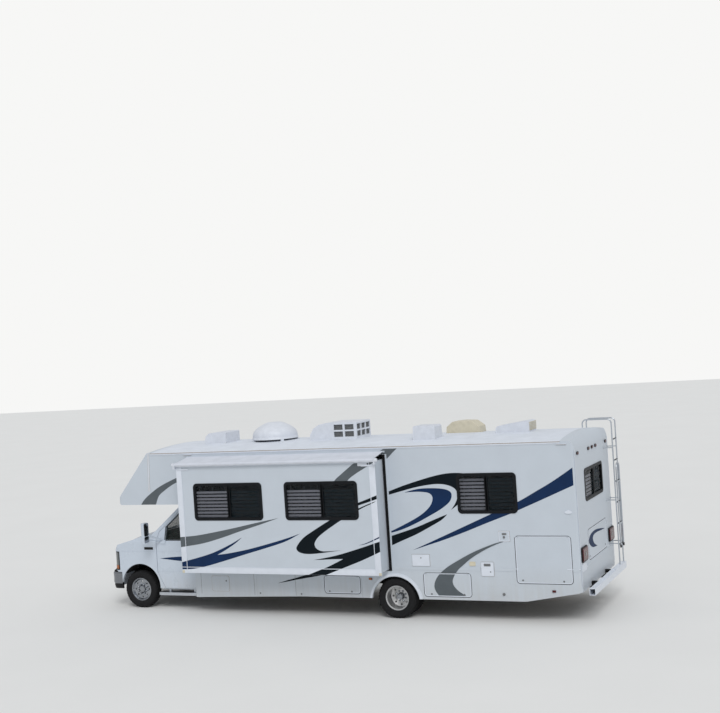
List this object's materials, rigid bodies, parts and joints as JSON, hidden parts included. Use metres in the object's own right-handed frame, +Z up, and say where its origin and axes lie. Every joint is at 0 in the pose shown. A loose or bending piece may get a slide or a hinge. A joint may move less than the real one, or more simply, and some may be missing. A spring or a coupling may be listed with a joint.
{
  "type": "motorhome",
  "caption": "Cab-over motorhome on a van cab chassis with an extended slide-out room, storage compartments, roof equipment and a rear ladder.",
  "frame": {"origin": "on the ground under the middle of the whole vehicle, slide-out extended", "axes": "+X towards the rear, +Y towards the passenger's side, +Z up"},
  "size_m": [9.8065, 3.171, 3.49],
  "materials": {
    "shell_white": "satin",
    "cab_white": "gloss",
    "roof_white": "matt",
    "frame_black": "satin",
    "iron": "matt",
    "steel": "satin",
    "chrome": "polished",
    "aluminium": "satin",
    "tyre": "matt",
    "black_plastic": "matt",
    "gray_plastic": "matt",
    "white_plastic": "satin",
    "lamp_clear": "gloss",
    "lamp_red": "gloss",
    "seat_cloth": "woven",
    "cream_fabric": "woven",
    "glass": "gloss",
    "plywood": "matt"
  },
  "bodies": {
    "body": {"chassis": "frame_black", "crossmembers": "frame_black", "receiver": "frame_black", "engine": "iron", "front_axle": "iron", "rear_axle": "iron", "exhaust": "steel", "tanks": "black_plastic", "cab_body": "cab_white", "grille": "gray_plastic", "headlamps": "lamp_clear", "front_bumper": "chrome", "dashboard": "gray_plastic", "cab_seats": "seat_cloth", "house_floor": "plywood", "storage_boxes": "black_plastic", "left_wall": "shell_white", "right_wall": "shell_white", "roof": "roof_white", "rear_wall": "shell_white", "cab_over": "shell_white", "window_frames": "black_plastic", "glass": "glass", "air_conditioner": "white_plastic", "satellite_dome": "white_plastic", "vent_covers": "white_plastic", "ladder": "aluminium", "rear_bumper": "cab_white", "lamps": "lamp_red", "steps": "aluminium", "awning": "white_plastic", "topper_fabric": "cream_fabric"},
    "left_knuckle": {"left_knuckle": "iron"},
    "right_knuckle": {"right_knuckle": "iron"},
    "steering_wheel": {"steering_wheel": "black_plastic"},
    "front_left_wheel": {"front_left_wheel": "chrome", "front_left_tyre": "tyre"},
    "front_right_wheel": {"front_right_wheel": "chrome", "front_right_tyre": "tyre"},
    "rear_left_wheels": {"rear_left_wheel": "chrome", "rear_left_tyre": "tyre"},
    "rear_right_wheels": {"rear_right_wheel": "chrome", "rear_right_tyre": "tyre"},
    "left_cab_door": {"left_cab_door": "cab_white", "left_door_glass": "glass", "left_mirror": "white_plastic"},
    "right_cab_door": {"right_cab_door": "cab_white", "right_door_glass": "glass", "right_mirror": "white_plastic"},
    "hood": {"hood": "cab_white"},
    "entry_door": {"entry_door": "shell_white"},
    "slide_room": {"slide_room": "shell_white", "slide_frames": "black_plastic", "slide_glass": "glass", "topper_roller": "white_plastic"},
    "bay_door_front": {"bay_door_front": "shell_white"},
    "bay_door_middle": {"bay_door_middle": "shell_white"},
    "bay_door_rear": {"bay_door_rear": "shell_white"},
    "bay_door_right": {"bay_door_right": "shell_white"},
    "rear_hatch": {"rear_hatch": "shell_white"}
  },
  "joints": [
    {"name": "front_left_roll", "type": "hinge", "parent": "left_knuckle", "child": "front_left_wheel", "pos_m": [-4.205, -0.709, 0.36], "axis": [0, 1, 0], "continuous": true},
    {"name": "front_right_roll", "type": "hinge", "parent": "right_knuckle", "child": "front_right_wheel", "pos_m": [-4.205, 1.053, 0.36], "axis": [0, 1, 0], "continuous": true},
    {"name": "rear_left_roll", "type": "hinge", "parent": "body", "child": "rear_left_wheels", "pos_m": [1.332, -0.818, 0.36], "axis": [0, 1, 0], "continuous": true},
    {"name": "rear_right_roll", "type": "hinge", "parent": "body", "child": "rear_right_wheels", "pos_m": [1.332, 1.162, 0.36], "axis": [0, 1, 0], "continuous": true},
    {"name": "steer_left", "type": "hinge", "parent": "body", "child": "left_knuckle", "pos_m": [-4.205, -0.563, 0.36], "axis": [0, 0, 1], "range_deg": [-30, 30]},
    {"name": "steer_right", "type": "hinge", "parent": "body", "child": "right_knuckle", "pos_m": [-4.205, 0.907, 0.36], "axis": [0, 0, 1], "range_deg": [-30, 30]},
    {"name": "steering_wheel_turn", "type": "hinge", "parent": "body", "child": "steering_wheel", "pos_m": [-3.425, -0.248, 1.2], "axis": [0.8192, 0, 0.5736], "range_deg": [-480, 480]},
    {"name": "left_cab_door_hinge", "type": "hinge", "parent": "body", "child": "left_cab_door", "pos_m": [-3.759, -0.825, 0.9], "axis": [0, 0, -1], "range_deg": [0, 60]},
    {"name": "right_cab_door_hinge", "type": "hinge", "parent": "body", "child": "right_cab_door", "pos_m": [-3.759, 1.169, 0.9], "axis": [0, 0, 1], "range_deg": [0, 60]},
    {"name": "hood_hinge", "type": "hinge", "parent": "body", "child": "hood", "pos_m": [-4.023, 0.172, 1.412], "axis": [0, 1, 0], "range_deg": [0, 55]},
    {"name": "entry_door_hinge", "type": "hinge", "parent": "body", "child": "entry_door", "pos_m": [0.091, 1.419, 1.6], "axis": [0, 0, 1], "range_deg": [0, 90]},
    {"name": "slide_room_slide", "type": "slide", "parent": "body", "child": "slide_room", "axis": [0, 1, 0], "range_m": [0, 0.385]},
    {"name": "bay_door_front_hinge", "type": "hinge", "parent": "body", "child": "bay_door_front", "pos_m": [0.303, -1.085, 0.734], "axis": [-1, 0, 0], "range_deg": [0, 90]},
    {"name": "bay_door_middle_hinge", "type": "hinge", "parent": "body", "child": "bay_door_middle", "pos_m": [2.314, -1.085, 0.812], "axis": [-1, 0, 0], "range_deg": [0, 90]},
    {"name": "bay_door_rear_hinge", "type": "hinge", "parent": "body", "child": "bay_door_rear", "pos_m": [4.055, -1.085, 1.459], "axis": [-1, 0, 0], "range_deg": [0, 90]},
    {"name": "bay_door_right_hinge", "type": "hinge", "parent": "body", "child": "bay_door_right", "pos_m": [2.695, 1.429, 0.754], "axis": [1, 0, 0], "range_deg": [0, 90]},
    {"name": "rear_hatch_hinge", "type": "hinge", "parent": "body", "child": "rear_hatch", "pos_m": [4.685, 0.212, 1.464], "axis": [0, -1, 0], "range_deg": [0, 90]}
  ],
  "couplings": [
    {"joint": "steer_right", "follows": "steer_left", "ratio": 1},
    {"joint": "steering_wheel_turn", "follows": "steer_left", "ratio": 16}
  ]
}
